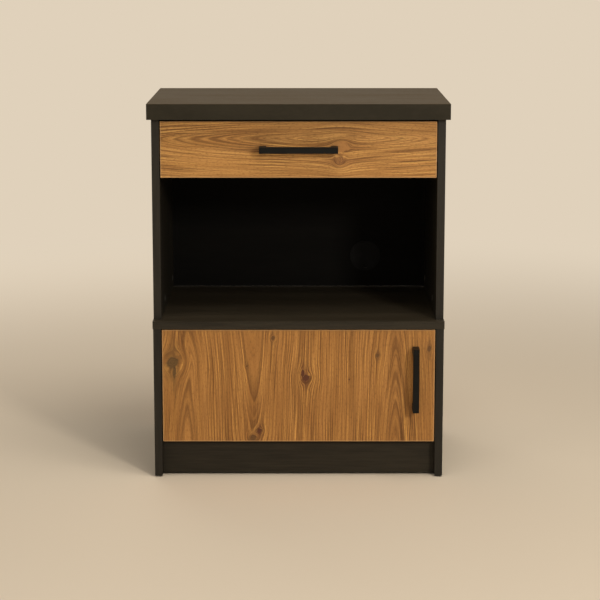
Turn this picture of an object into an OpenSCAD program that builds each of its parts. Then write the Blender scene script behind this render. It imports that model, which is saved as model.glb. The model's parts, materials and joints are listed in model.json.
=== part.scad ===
// Free-standing microwave cabinet: a base unit with one inset door, a deck board,
// an open niche, one inset drawer and a thick top board.
// X runs to the right, Y to the back and Z up. The origin lies on the floor,
// midway between the door handle's front face and the back.

/* [Cabinet] */
// Width over the two side panels
body_w = 600; // [450:10:900]
// Depth from the base sides' front edges to the back
body_d = 400; // [360:10:560]
// Floor to the lower edge of the door
kick_h = 77; // [60:1:120]
// Lower edge of the door to the underside of the deck
door_zone_h = 239; // [220:1:500]
// Top of the deck to the lower edge of the drawer front
niche_h = 296; // [240:1:450]
// Lower edge of the drawer front to the underside of the top
drawer_zone_h = 120; // [115:1:220]

/* [Boards] */
// Thickness of the side, deck, bottom and front boards
board_t = 16; // [15:0.5:19]
// Thickness of the top board
top_t = 32; // [22:1:40]
// Thickness of the hardboard backs
back_t = 3; // [2.5:0.5:5]
// Top board past each side panel
top_overhang = 8; // [0:1:25]
// Deck past each side panel
deck_overhang = 1; // [0:0.5:4]
// Deck and top forward of the base sides
front_overhang = 2; // [0:0.5:6]
// Upper sides and drawer front back from the base sides
upper_setback = 18; // [0:1:40]
// Plinth board back from the base sides
kick_setback = 22; // [5:1:60]
// Edge of a hardboard back in from the outline
back_inset = 1; // [0.5:0.5:4]

/* [Gaps] */
// Gap round the door and the drawer front
front_gap = 2; // [1.8:0.1:3]
// Gap above the drawer front, under the top board
head_gap = 5; // [2:0.5:6]
// Thickness of the felt buffers behind the drawer front
buffer_t = 2; // [1:0.5:4]
// Radius of a felt buffer
buffer_r = 4.5; // [3:0.5:6]
// Height of the nailed floor glides
glide_h = 3; // [2:0.5:6]
// Radius of a floor glide
glide_r = 7; // [5:0.5:7.5]
// Radius of a door stop's head
stop_r = 6; // [4:0.5:8]
// Length of a door stop's head
stop_l = 9; // [6:0.5:14]

/* [Handles] */
// Front of a handle out from its board
handle_out = 32; // [26:1:40]
// Height of the bar's front face
bar_w = 13; // [10:0.5:18]
// Thickness of the bar, front to back
bar_t = 10; // [6:0.5:12]
// Width of an end post along the bar
post_w = 14; // [10:0.5:18]
// Overall length of the drawer handle
drawer_handle_l = 160; // [110:1:240]
// Overall length of the door handle
door_handle_l = 134; // [100:1:180]
// Door handle's centre in from the door's free edge
door_handle_in = 40; // [25:1:60]
// Door handle's centre above the door's lower edge
door_handle_up = 135; // [90:1:145]

/* [Drawer] */
// Thickness of the drawer's sides and back
box_t = 12; // [11:0.5:14]
// Height of the drawer's sides
box_h = 78; // [70:1:80]
// Length of the drawer's sides and of its runners
box_l = 350; // [300:10:350]
// Drawer sides' lower edges above the divider
box_lift = 14; // [6:1:18]
// Thickness of the drawer's hardboard bottom
box_bottom_t = 3; // [2.5:0.5:4]
// Drawer bottom's groove above the sides' lower edges
groove_up = 12; // [12:0.5:16]
// Depth of the groove
groove_deep = 6; // [4:0.5:6]

/* [Runners] */
// Side panel to drawer side
runner_space = 12.5; // [12.5:0.1:13.5]
// Thickness of the rail steel
rail_t = 1.2; // [1:0.1:1.4]
// Radius of a nylon roller
roller_r = 8.3; // [7:0.1:8.5]
// Width of a nylon roller
roller_w = 6.6; // [6:0.1:7]
// Radius of a roller's rivet
rivet_r = 2; // [1.5:0.1:3]
// Clearance of a roller or lip from what it runs on
roll_gap = 0.2; // [0.1:0.05:0.3]

/* [Hinges] */
// Radius of the hinge cup
cup_r = 17.4; // [17:0.1:17.6]
// Depth of the cup's bore in the door
cup_deep = 12; // [11:0.5:12.5]
// Cup's centre in from the door's edge
cup_in = 22.5; // [22:0.5:24]
// Hinge pin's axis behind the door's front face
pin_back = 9; // [8.5:0.5:9.5]
// Radius of the hinge pin
pin_r = 1.5; // [1.2:0.1:1.8]
// Running clearance of the pin in the arm's eye
pin_gap = 0.05; // [0.03:0.01:0.1]
// Hinge's centre from the door's upper or lower edge
hinge_in = 55; // [45:1:70]
// Height of the hinge arm
arm_h = 12; // [10:0.5:14]
// Thickness of the arm's bent steel
arm_t = 4; // [3:0.5:4]

/* [Cable outlet] */
// Radius of the hole in the upper back
outlet_r = 30; // [20:1:35]
// Outlet's centre right of the middle
outlet_x = 150; // [-150:5:150]
// Outlet's centre above the deck
outlet_up = 70; // [50:5:120]

/* [Hidden] */
$fn = 48;
eps = 0.01;       // how far a cut runs past a face
fit = 0.1;        // play of a fastener or a tongue in its seat
wall_t = 1;       // sheet of the hinge cup
plate_t = 2;      // hinge mounting plate

// Levels
z_floor1 = kick_h - front_gap;
z_floor0 = z_floor1 - board_t;
z_deck0 = kick_h + door_zone_h;
z_deck1 = z_deck0 + board_t;
z_drawer0 = z_deck1 + niche_h;
z_top0 = z_drawer0 + drawer_zone_h;
z_top1 = z_top0 + top_t;

// Depths
y_front = (handle_out - body_d) / 2;
y_back = y_front + body_d;
y_rear = y_back - back_t;
y_upper = y_front + upper_setback;
y_lead = y_front - front_overhang;
y_kick = y_front + kick_setback;
y_upper_in = y_upper + board_t + buffer_t;

// Widths
x_out = body_w / 2;
x_in = x_out - board_t;
x_mid = x_out - board_t / 2;
front_w = 2 * (x_in - front_gap);

// Fasteners
cam_in = 24;          // cam's centre from the joint
cam_r = 7.4;
cam_below = 4.2;      // cam past the board's middle
cam_play = 0.6;       // bolt's head in the cam
slot_l = 7;           // screwdriver's cross
slot_w = 1.4;
slot_deep = 2.1;
bolt_in = 11;         // bolt's thread in the face board
bolt_r = 2.9;
bolt_thread_r = 2.45;
bolt_collar_r = 3.4;
bolt_collar_t = 2;
bolt_neck_r = 1.8;
bolt_neck_at = 19;    // from the joint to the neck, the head and the end
bolt_head_r = 3.2;
bolt_head_at = 22;
bolt_end = 26;
bolt_bore_r = 4;
dowel_r = 4;
dowel_face = 10;      // dowel's share in the face board
dowel_edge = 20;
screw_r = 1.75;
head_r = 3.5;
head_t = 1.3;
handle_screw_r = 2;
handle_head_r = 4;
handle_head_t = 2.4;
handle_thread = 8;
nail_r = 0.7;
nail_head_r = 1.7;
nail_head_t = 0.6;
nail_l = 18;

// Fastener places: the first and last bolt, with the rest a hole pitch or two from them
bolt_fore = 100;
bolt_aft = 60;
pitch = 32;
y_base_bolts = [y_front + bolt_fore, y_rear - bolt_aft];
y_base_dowels = [y_front + bolt_fore - pitch, y_rear - bolt_aft - pitch];
y_deck_bolts = [y_front + bolt_fore + pitch, y_rear - bolt_aft + pitch];
y_deck_dowels = [y_front + bolt_fore + 2 * pitch, y_rear - bolt_aft - 2 * pitch];
kick_mid = (glide_h + z_floor0) / 2;
function spread(from, to, n) = [for (i = [0:n - 1]) from + (to - from) * i / (n - 1)];

// A place for a joint's hardware is [point, outer turn, inner turn, board thickness].
// Its own X runs into the edge board, its Z to the face that holds the cam.
function hung_down(s) = s > 0 ? [[0, 180, 0], [0, 0, 0]] : [[180, 0, 0], [0, 0, 0]];
function hung_up(s) = [[0, 0, s > 0 ? 180 : 0], [0, 0, 0]];
function cam_back(s) = [[-90, 0, 0], [0, 0, s > 0 ? 180 : 0]];
function cam_front(s) = [[90, 0, 0], [0, 0, s > 0 ? 180 : 0]];
function leg_down(s) = [[0, 0, s > 0 ? 180 : 0], [0, 90, 0]];
function leg_up(s) = [[0, 0, s > 0 ? 0 : 180], [0, -90, 0]];
function box_side(s) = [[0, 0, 90], [s > 0 ? -90 : 90, 0, 0]];
function spots(points, turn, t) = [for (p = points) [p, turn[0], turn[1], t]];

function bottom_spots(s, ys) =
    spots([for (y = ys) [s * x_in, y, z_floor0 + board_t / 2]], hung_down(s), board_t);
function divider_spots(s, ys) =
    spots([for (y = ys) [s * x_in, y, z_drawer0 + board_t / 2]], hung_up(s), board_t);
function plinth_spots(s, up) =
    spots([[s * x_in, y_kick + board_t / 2, kick_mid + up]], cam_back(s), board_t);
function rail_spots(s, up) =
    spots([[s * x_in, y_rear - board_t / 2, kick_mid + up]], cam_front(s), board_t);
function deck_under_spots(s, ys) =
    spots([for (y = ys) [s * x_mid, y, z_deck0]], leg_down(s), board_t);
function deck_over_spots(s, ys) =
    spots([for (y = ys) [s * x_mid, y, z_deck1]], leg_up(s), board_t);
function top_spots(s, ys) =
    spots([for (y = ys) [s * x_mid, y, z_top0]], leg_down(s), board_t);

dowel_up = 20;        // dowels of the plinth and rear rail above their bolts
function carcass_bolts(s) = concat(
    bottom_spots(s, y_base_bolts), divider_spots(s, y_base_bolts),
    plinth_spots(s, 0), rail_spots(s, 0),
    deck_under_spots(s, y_base_bolts), deck_over_spots(s, y_deck_bolts),
    top_spots(s, y_base_bolts));
function carcass_dowels(s) = concat(
    bottom_spots(s, y_base_dowels), divider_spots(s, y_base_dowels),
    plinth_spots(s, dowel_up), rail_spots(s, dowel_up),
    deck_under_spots(s, y_base_dowels), deck_over_spots(s, y_deck_dowels),
    top_spots(s, y_base_dowels));
SIDES = [-1, 1];

// Drawer box
box_x = x_in - runner_space;          // outer face of a drawer side
box_z = z_drawer0 + board_t + box_lift;
box_y = y_upper + board_t;
box_back_y = box_y + box_l - box_t;
box_bolt_up = box_h / 2;
box_dowel_below = 16;
box_dowel_above = 24;
box_dowel_up = [box_bolt_up - box_dowel_below, box_bolt_up + box_dowel_above];
function box_spots(s, ups) = spots(
    [for (up = ups) [s * (box_x - box_t / 2), box_y, box_z + up]], box_side(s), box_t);

// Runners, in a frame on the side panel's inner face with X towards the drawer
rail_l = box_l;
rail_slack = 0.6;                      // rail clear of what slides past it
rail_z = box_z + rail_slack;
rail_y = y_upper_in;
rail_reach = runner_space - rail_t - rail_slack + fit;
front_axle_z = rail_t + roller_r + 2 * roll_gap;
rear_axle_z = rail_t + roller_r + roll_gap;
lip_z = front_axle_z + roller_r + roll_gap;
rail_h = lip_z + rail_t + rail_slack + rail_t;
axle_in = 12;                          // front roller's centre from the rail's front end
rear_axle_in = 14;                     // rear roller's from its back end
rear_axle_y = rail_l - rear_axle_in;
roller_x = 3.2;
collar_r = 3.2;
collar_t = 0.3;
head_clear = 0.2;
rail_screw_in = 40;
rail_screws = spread(rail_screw_in, rail_l - rail_screw_in, 3);
rail_end = 1;                          // drawer rail short of the drawer side's ends
flange_w = 10;
flange_screw_in = 45;
flange_screws = spread(flange_screw_in, rail_l - flange_screw_in, 2);
flange_screw_l = 10;
box_screw_r = 2.2;
box_screw_head_r = 3.6;
box_screw_head_t = 1;
box_screw_l = 36;
box_screw_down = [42, 16];
box_screw_up = [for (d = box_screw_down) box_h - d];

// Hinges, in a frame on the pin's axis
hinge_x = -(x_in - front_gap) + cup_in;
hinge_y = y_front + pin_back;
door_z0 = kick_h;
door_h = door_zone_h - front_gap;
hinge_zs = [door_z0 + hinge_in, door_z0 + door_h - hinge_in];
door_back = board_t - pin_back;        // door's back face from the pin
foot = 13;                             // arm's stem from the pin
sweep = 27;                            // arm's cross piece from the pin, past the door's edge
eye_r = 3.2;
side_at = -(cup_in + front_gap);       // side panel's inner face from the pin
arm_w = 10;
arm_l = 51;
arm_wall = 1.5;
plate_in = 3;                          // plate, its wings and the first adjuster from the cross piece
wing_in = 10;
adjuster_in = 14;
adjuster_pitch = 24;
arm_end = 2;                           // arm's open channel from its ends
plate_y = sweep + plate_in;
plate_l = 45;
plate_h = 14;
wing_y = sweep + wing_in;
wing_l = 16;
wing_h = 48;
plate_screw_up = 16;
adjuster_ys = [sweep + adjuster_in, sweep + adjuster_in + adjuster_pitch];
flange_t = 1.2;
cup_lip = 1;
pin_short = 0.4;                       // pin's ends from the cup's outside
ear_x = 3;
ear_w = 13;
ear_h = 56;
cup_screw_x = 9.5;
cup_screw_up = 22.5;
cup_screw_l = 10;

// Handles and glides
drawer_handle_z = z_drawer0 + (drawer_zone_h - front_gap) / 2;
door_handle_x = x_in - front_gap - door_handle_in;
glide_in = 30;
glide_ys = [y_front + glide_in, y_rear - glide_in];
glide_pin_r = 1.2;
glide_pin_l = 15;

// Backs
back_w = body_w - 2 * back_inset;
back_gap = 0.4;
nail_x = x_mid;
nail_end = 12;                         // first nail from a panel's end
nail_side = 96;                        // first nail along a shelf from its end
base_nail_zs = spread(glide_h + nail_end, z_deck0 - nail_end, 4);
base_nail_xs = spread(nail_side - x_in, x_in - nail_side, 4);
upper_nail_zs = spread(z_deck1 + nail_end, z_top0 - nail_end, 5);
base_nails = concat(
    [for (s = SIDES, z = base_nail_zs) [s * nail_x, z]],
    [for (x = base_nail_xs) [x, z_floor0 + board_t / 2]]);
upper_nails = concat(
    [for (s = SIDES, z = upper_nail_zs) [s * nail_x, z]],
    [for (x = base_nail_xs) [x, z_drawer0 + board_t / 2]]);

// Stops behind the door and buffers behind the drawer front
buffer_in = 60;
buffer_xs = [buffer_in - x_in, x_in - buffer_in];
stop_in = 35;
stop_zs = [door_z0 + stop_in, door_z0 + door_h - stop_in];
stop_gap = 0.2;
stop_pin_r = 2.5;
stop_pin_l = 9;

// Cable grommet
grommet_wall = 3;
grommet_lip = 4;
grommet_lip_t = 2;
cap_lip = 2;
cap_lip_t = 1.2;
cap_wall = 1.5;
cap_plug = 3;
cord_slot_w = 9;
cord_slot_h = 11;

// ---------- Shared shapes ----------

module rod(r, from, to) translate([from, 0, 0]) rotate([0, 90, 0]) cylinder(r = r, h = to - from);

module rod_y(r, from, to) translate([0, from, 0]) rotate([-90, 0, 0]) cylinder(r = r, h = to - from);

module place(spot) translate(spot[0]) rotate(spot[1]) rotate(spot[2]) children();

// A board from its lowest corner to its highest
module board(low, high) translate(low) cube(high - low);

module cam_bolt() {
    rod(bolt_thread_r, -bolt_in, 0);
    rod(bolt_collar_r, 0, bolt_collar_t);
    rod(bolt_r, 0, bolt_neck_at);
    rod(bolt_neck_r, 0, bolt_end);
    rod(bolt_head_r, bolt_head_at, bolt_end);
}

module cam_lock(t) translate([cam_in, 0, 0]) difference() {
    translate([0, 0, -cam_below]) cylinder(r = cam_r, h = t / 2 + cam_below - fit);
    rod(bolt_head_r + cam_play, -2 * cam_r, bolt_end - cam_in + cam_play);
    for (a = [0, 90]) rotate([0, 0, a])
        board([-slot_l / 2, -slot_w / 2, t / 2 - slot_deep], [slot_l / 2, slot_w / 2, t]);
}

module edge_bores(bolts, dowels) {
    for (b = bolts) place(b) {
        rod(bolt_bore_r, -eps, cam_in);
        translate([cam_in, 0, -cam_below - fit])
            cylinder(r = cam_r + fit, h = b[3] / 2 + cam_below + 2 * fit);
    }
    for (d = dowels) place(d) rod(dowel_r, -eps, dowel_edge + fit);
}

module face_bores(bolts, dowels) {
    for (b = bolts) place(b) rod(bolt_thread_r + fit / 2, -bolt_in - fit, eps);
    for (d = dowels) place(d) rod(dowel_r, -dowel_face - fit, eps);
}

module dowel() rod(dowel_r - fit / 2, -dowel_face, dowel_edge);

// A screw along X, its head's seat at X = 0 and its point at X = length
module screw(r, length, hr, ht) {
    rod(r, -ht / 2, length);
    rod(hr, -ht, 0);
}

module nail_cuts(nails, y0) for (n = nails) translate([n[0], y0, n[1]])
    rod_y(nail_r + fit / 2, -nail_l, eps);

// ---------- Base unit ----------

module base_side(s) color([0.17, 0.16, 0.14]) difference() {
    board([s > 0 ? x_in : -x_out, y_front, glide_h], [s > 0 ? x_out : -x_in, y_rear, z_deck0]);
    edge_bores(deck_under_spots(s, y_base_bolts), deck_under_spots(s, y_base_dowels));
    face_bores(concat(bottom_spots(s, y_base_bolts), plinth_spots(s, 0), rail_spots(s, 0)),
        concat(bottom_spots(s, y_base_dowels), plinth_spots(s, dowel_up), rail_spots(s, dowel_up)));
    nail_cuts([for (z = base_nail_zs) [s * nail_x, z]], y_back);
    for (y = glide_ys) translate([s * x_mid, y, 0])
        cylinder(r = glide_pin_r + fit / 2, h = glide_h + glide_pin_l + fit);
    if (s < 0) for (z = hinge_zs, up = [-1, 1])
        translate([-x_in, hinge_y + wing_y + wing_l / 2, z + up * plate_screw_up])
            rod(screw_r + fit / 2, -board_t + plate_t + 1 - fit, eps);
    else at_stops() rod(stop_pin_r + fit / 2, -eps, stop_pin_l + fit);
}

module base_bottom() color([0.17, 0.16, 0.14]) difference() {
    board([-x_in, y_kick + board_t, z_floor0], [x_in, y_rear, z_floor1]);
    for (s = SIDES) edge_bores(bottom_spots(s, y_base_bolts), bottom_spots(s, y_base_dowels));
    nail_cuts([for (x = base_nail_xs) [x, z_floor0 + board_t / 2]], y_back);
}

module plinth_board() color([0.15, 0.14, 0.12]) difference() {
    board([-x_in, y_kick, glide_h], [x_in, y_kick + board_t, z_floor1]);
    for (s = SIDES) edge_bores(plinth_spots(s, 0), plinth_spots(s, dowel_up));
}

module rear_rail() color([0.17, 0.16, 0.14]) difference() {
    board([-x_in, y_rear - board_t, glide_h], [x_in, y_rear, z_floor0]);
    for (s = SIDES) edge_bores(rail_spots(s, 0), rail_spots(s, dowel_up));
}

module base_back_panel() color([0.5, 0.38, 0.26]) difference() {
    board([-back_w / 2, y_rear, glide_h + back_inset], [back_w / 2, y_back, z_deck0 - back_gap]);
    back_holes(base_nails);
}

module back_holes(nails) {
    nail_cuts(nails, y_back);
    for (n = nails) translate([n[0], y_back, n[1]]) rod_y(nail_head_r + fit / 2, -nail_head_t, eps);
}

module back_nails() color([0.7, 0.7, 0.7]) for (n = concat(base_nails, upper_nails))
    translate([n[0], y_back, n[1]]) {
        rod_y(nail_r, -nail_l + fit, -eps);
        rod_y(nail_head_r, -nail_head_t, 0);
    }

module floor_glides() color([0.1, 0.1, 0.1]) for (s = SIDES, y = glide_ys) translate([s * x_mid, y, 0]) {
    cylinder(r = glide_r, h = glide_h);
    cylinder(r = glide_pin_r, h = glide_h + glide_pin_l);
}

// ---------- Deck, niche and top ----------

module deck_board() color([0.19, 0.18, 0.15]) difference() {
    board([-x_out - deck_overhang, y_lead, z_deck0], [x_out + deck_overhang, y_back, z_deck1]);
    for (s = SIDES) {
        face_bores(deck_under_spots(s, y_base_bolts), deck_under_spots(s, y_base_dowels));
        face_bores(deck_over_spots(s, y_deck_bolts), deck_over_spots(s, y_deck_dowels));
    }
}

module upper_side(s) color([0.17, 0.16, 0.14]) difference() {
    board([s > 0 ? x_in : -x_out, y_upper, z_deck1], [s > 0 ? x_out : -x_in, y_rear, z_top0]);
    edge_bores(concat(deck_over_spots(s, y_deck_bolts), top_spots(s, y_base_bolts)),
        concat(deck_over_spots(s, y_deck_dowels), top_spots(s, y_base_dowels)));
    face_bores(divider_spots(s, y_base_bolts), divider_spots(s, y_base_dowels));
    nail_cuts([for (z = upper_nail_zs) [s * nail_x, z]], y_back);
    for (y = rail_screws) on_side(s) translate([0, y, rail_h / 2])
        rod(screw_r + fit / 2, -screw_grip - fit, eps);
}

module drawer_divider() color([0.15, 0.14, 0.12]) difference() {
    board([-x_in, y_upper_in, z_drawer0], [x_in, y_rear, z_drawer0 + board_t]);
    for (s = SIDES) edge_bores(divider_spots(s, y_base_bolts), divider_spots(s, y_base_dowels));
    nail_cuts([for (x = base_nail_xs) [x, z_drawer0 + board_t / 2]], y_back);
}

module top_board() color([0.22, 0.2, 0.17]) difference() {
    board([-x_out - top_overhang, y_lead, z_top0], [x_out + top_overhang, y_back, z_top1]);
    for (s = SIDES) face_bores(top_spots(s, y_base_bolts), top_spots(s, y_base_dowels));
}

module upper_back_panel() color([0.5, 0.38, 0.26]) difference() {
    board([-back_w / 2, y_rear, z_deck1 + back_gap], [back_w / 2, y_back, z_top0 - back_gap]);
    back_holes(upper_nails);
    translate([outlet_x, y_rear, z_deck1 + outlet_up]) rod_y(outlet_r, -eps, back_t + eps);
}

module cable_grommet() color([0.06, 0.06, 0.06]) translate([outlet_x, y_rear, z_deck1 + outlet_up])
    difference() {
        union() {
            rod_y(outlet_r - fit, -eps, back_t);
            rod_y(outlet_r + grommet_lip, -grommet_lip_t, 0);
        }
        rod_y(outlet_r - grommet_wall, -grommet_lip_t - 1, back_t + 1);
    }

// The lid clipped into the grommet, with a slot in its lower edge for the cord
module grommet_cap() color([0.06, 0.06, 0.06])
    translate([outlet_x, y_rear - grommet_lip_t, z_deck1 + outlet_up]) difference() {
        cap_r = outlet_r - grommet_wall + cap_lip;
        union() {
            rod_y(cap_r, -cap_lip_t, 0);
            rod_y(cap_r - cap_lip - fit, -cap_lip_t / 2, cap_plug);
        }
        rod_y(cap_r - cap_lip - fit - cap_wall, 0, cap_plug + 1);
        board([-cord_slot_w / 2, -cap_lip_t - 1, -cap_r - 1],
            [cord_slot_w / 2, cap_plug + 1, cord_slot_h - cap_r]);
    }

module wood_dowels() color([0.8, 0.65, 0.42]) for (s = SIDES, d = carcass_dowels(s)) place(d) dowel();

module cam_bolts() color([0.75, 0.72, 0.6]) for (s = SIDES, b = carcass_bolts(s)) place(b) cam_bolt();

module cam_locks() color([0.6, 0.6, 0.6]) for (s = SIDES, b = carcass_bolts(s)) place(b) cam_lock(b[3]);

module felt_buffers() color([0.25, 0.24, 0.22]) for (x = buffer_xs)
    translate([x, y_upper_in, z_drawer0 + board_t / 2]) rod_y(buffer_r, -buffer_t, 0);

// A frame on the right side panel's inner face, with X into the board
module at_stops() for (z = stop_zs) translate([x_in, y_front + board_t + stop_gap + stop_r, z]) children();

module door_stops() color([0.1, 0.1, 0.1]) at_stops() {
    rod(stop_r, -stop_l, 0);
    rod(stop_pin_r, -stop_l / 2, stop_pin_l);
}

// ---------- Drawer ----------

module drawer_front() color([0.63, 0.43, 0.22]) difference() {
    board([-front_w / 2, y_upper, z_drawer0], [front_w / 2, box_y, z_top0 - head_gap]);
    for (s = SIDES) {
        face_bores(box_spots(s, [box_bolt_up]), box_spots(s, box_dowel_up));
        translate([s * handle_pitch(drawer_handle_l), y_upper, drawer_handle_z])
            rod_y(handle_screw_r + fit, -eps, board_t + eps);
    }
    drawer_bottom_space(fit);
}

module drawer_side(s) color([0.2, 0.19, 0.17]) difference() {
    board([s > 0 ? box_x - box_t : -box_x, box_y, box_z],
        [s > 0 ? box_x : box_t - box_x, box_y + box_l, box_z + box_h]);
    edge_bores(box_spots(s, [box_bolt_up]), box_spots(s, box_dowel_up));
    drawer_bottom_space(fit);
    for (up = box_screw_up) on_box(s, up) rod(box_screw_r + fit / 2, -eps, box_t + eps);
    for (up = box_screw_up) on_box(s, up) rod(box_screw_head_r + fit / 2, -eps, box_screw_head_t);
    for (y = flange_screws) on_side(s) translate([runner_space + box_t / 2, y, box_z - rail_z])
        cylinder(r = screw_r + fit / 2, h = flange_screw_l + fit);
}

module drawer_back() color([0.2, 0.19, 0.17]) difference() {
    board([-box_x + box_t, box_back_y, box_z], [box_x - box_t, box_y + box_l, box_z + box_h]);
    drawer_bottom_space(fit);
    for (s = SIDES, up = box_screw_up) on_box(s, up)
        rod(box_screw_r + fit / 2, box_t - eps, box_screw_l + fit);
}

// The hardboard bottom's slab, or with play the groove that holds it
module drawer_bottom_space(play) {
    half = box_x - box_t + groove_deep - fit + play;
    board([-half, box_y - groove_deep + fit - play, box_z + groove_up - play],
        [half, box_back_y + groove_deep - fit + play, box_z + groove_up + box_bottom_t + play]);
}

module drawer_bottom() color([0.42, 0.33, 0.24]) drawer_bottom_space(0);

// A frame on a drawer side's outer face, with X into the box
module on_box(s, up) translate([s * box_x, box_back_y + box_t / 2, box_z + up])
    rotate([0, 0, s > 0 ? 180 : 0]) children();

module drawer_back_screws() color([0.7, 0.7, 0.7]) for (s = SIDES, up = box_screw_up) on_box(s, up)
    translate([box_screw_head_t, 0, 0])
        screw(box_screw_r, box_screw_l - box_screw_head_t, box_screw_head_r, box_screw_head_t);

module drawer_dowels() color([0.8, 0.65, 0.42])
    for (s = SIDES, d = box_spots(s, box_dowel_up)) place(d) dowel();

module drawer_cam_bolts() color([0.75, 0.72, 0.6])
    for (s = SIDES, b = box_spots(s, [box_bolt_up])) place(b) cam_bolt();

module drawer_cam_locks() color([0.6, 0.6, 0.6])
    for (s = SIDES, b = box_spots(s, [box_bolt_up])) place(b) cam_lock(b[3]);

// ---------- Runners ----------

screw_grip = board_t - 3;     // rail screw's length in the side panel

// A frame at the cabinet rail's lower front corner, with X from the side panel to the drawer
module on_side(s) translate([s * x_in, rail_y, rail_z]) mirror([s > 0 ? 1 : 0, 0, 0]) children();

module cabinet_rail(s) color([0.85, 0.85, 0.83]) on_side(s) difference() {
    union() {
        cube([rail_t, rail_l, rail_h]);
        cube([rail_reach, rail_l, rail_t]);
        translate([0, 0, rail_h - rail_t]) cube([rail_reach, rail_l, rail_t]);
        translate([0, axle_in, front_axle_z]) {
            rod(rivet_r, 0, roller_x + roller_w + head_clear);
            rod(collar_r, 0, roller_x - head_clear);
            translate([roller_x + roller_w + head_clear, 0, 0]) rod(collar_r, 0, collar_t);
        }
    }
    for (y = rail_screws) translate([0, y, rail_h / 2]) rod(screw_r + fit / 2, -1, rail_t + 1);
}

module cabinet_rail_screws() color([0.7, 0.7, 0.7]) for (s = SIDES, y = rail_screws) on_side(s)
    translate([rail_t, y, rail_h / 2]) mirror([1, 0, 0]) screw(screw_r, rail_t + screw_grip, head_r, head_t);

module roller() difference() {
    rod(roller_r, roller_x, roller_x + roller_w);
    rod(rivet_r + fit / 2, roller_x - 1, roller_x + roller_w + 1);
}

module front_rollers() color([0.93, 0.93, 0.9]) for (s = SIDES) on_side(s)
    translate([0, axle_in, front_axle_z]) roller();

module rear_rollers() color([0.93, 0.93, 0.9]) for (s = SIDES) on_side(s)
    translate([0, rear_axle_y, rear_axle_z]) roller();

module drawer_rail(s) color([0.85, 0.85, 0.83]) on_side(s) {
    web_x = runner_space - rail_t;
    low = box_z - rail_z - rail_t;
    rail_front = box_y - rail_y + rail_end;
    rail_back = box_y + box_l - rail_y - rail_end;
    difference() {
        union() {
            board([web_x, rail_front, low], [runner_space, rail_back, lip_z + rail_t]);
            board([roller_x, rail_front, lip_z], [runner_space, rail_back, lip_z + rail_t]);
            board([web_x, rail_front, low], [runner_space + flange_w, rail_back, low + rail_t]);
            translate([0, rear_axle_y, rear_axle_z]) {
                rod(rivet_r, roller_x - head_clear, web_x + eps);
                rod(collar_r, roller_x + roller_w + head_clear, web_x + eps);
                rod(collar_r, roller_x - head_clear - collar_t, roller_x - head_clear);
            }
        }
        for (y = flange_screws) translate([runner_space + box_t / 2, y, low - 1])
            cylinder(r = screw_r + fit / 2, h = rail_t + 2);
    }
}

module drawer_rail_screws() color([0.7, 0.7, 0.7]) for (s = SIDES, y = flange_screws) on_side(s)
    translate([runner_space + box_t / 2, y, box_z - rail_z - rail_t]) rotate([0, -90, 0])
        screw(screw_r, rail_t + flange_screw_l, head_r, head_t);

// ---------- Handles ----------

function handle_pitch(length) = (length - post_w) / 2;

// A bar handle along X, its posts' feet on the plane Y = 0 and its front at -handle_out
module handle(length) color([0.05, 0.05, 0.05]) difference() {
    union() {
        board([-length / 2, -handle_out, -bar_w / 2], [length / 2, bar_t - handle_out, bar_w / 2]);
        for (s = SIDES) board([s * handle_pitch(length) - post_w / 2, -handle_out, -bar_w / 2],
            [s * handle_pitch(length) + post_w / 2, 0, bar_w / 2]);
    }
    for (s = SIDES) translate([s * handle_pitch(length), 0, 0])
        rod_y(handle_screw_r + fit / 2, -handle_thread - fit, eps);
}

module handle_screws(length) color([0.72, 0.72, 0.72]) for (s = SIDES)
    translate([s * handle_pitch(length), 0, 0]) {
    rod_y(handle_screw_r, -handle_thread, board_t + handle_head_t / 2);
    rod_y(handle_head_r, board_t, board_t + handle_head_t);
}

module on_drawer_front() translate([0, y_upper, drawer_handle_z]) children();

module on_door_front() translate([door_handle_x, y_front, door_z0 + door_handle_up]) rotate([0, 90, 0]) children();

module drawer_handle() on_drawer_front() handle(drawer_handle_l);

module drawer_handle_screws() on_drawer_front() handle_screws(drawer_handle_l);

module door_handle() on_door_front() handle(door_handle_l);

module door_handle_screws() on_door_front() handle_screws(door_handle_l);

// ---------- Door and hinges ----------

module at_hinges() for (z = hinge_zs) translate([hinge_x, hinge_y, z]) children();

module door_panel() color([0.62, 0.42, 0.22]) difference() {
    board([-front_w / 2, y_front, door_z0], [front_w / 2, y_front + board_t, door_z0 + door_h]);
    at_hinges() {
        rod_y(cup_r + fit, door_back - cup_deep, door_back + eps);
        for (up = [-1, 1]) translate([cup_screw_x, 0, up * cup_screw_up])
            rod_y(screw_r + fit / 2, door_back - cup_screw_l - fit, door_back + eps);
    }
    for (s = SIDES) on_door_front() translate([s * handle_pitch(door_handle_l), 0, 0])
        rod_y(handle_screw_r + fit, -eps, board_t + eps);
}

module hinge_cups() color([0.72, 0.72, 0.72]) at_hinges() difference() {
    union() {
        rod_y(cup_r, door_back - cup_deep + fit, door_back + flange_t);
        rod_y(cup_r + cup_lip, door_back, door_back + flange_t);
        board([ear_x, door_back, -ear_h / 2], [ear_x + ear_w, door_back + flange_t, ear_h / 2]);
    }
    rod_y(cup_r - wall_t, door_back - cup_deep + fit + wall_t, door_back + flange_t + 1);
    translate([0, 0, -cup_r]) cylinder(r = pin_r + fit / 4, h = 2 * cup_r);
    for (up = [-1, 1]) translate([cup_screw_x, 0, up * cup_screw_up])
        rod_y(screw_r + fit / 2, door_back - 1, door_back + flange_t + 1);
}

module hinge_pins() color([0.6, 0.6, 0.6]) at_hinges()
    translate([0, 0, pin_short - cup_r]) cylinder(r = pin_r, h = 2 * (cup_r - pin_short));

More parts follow.
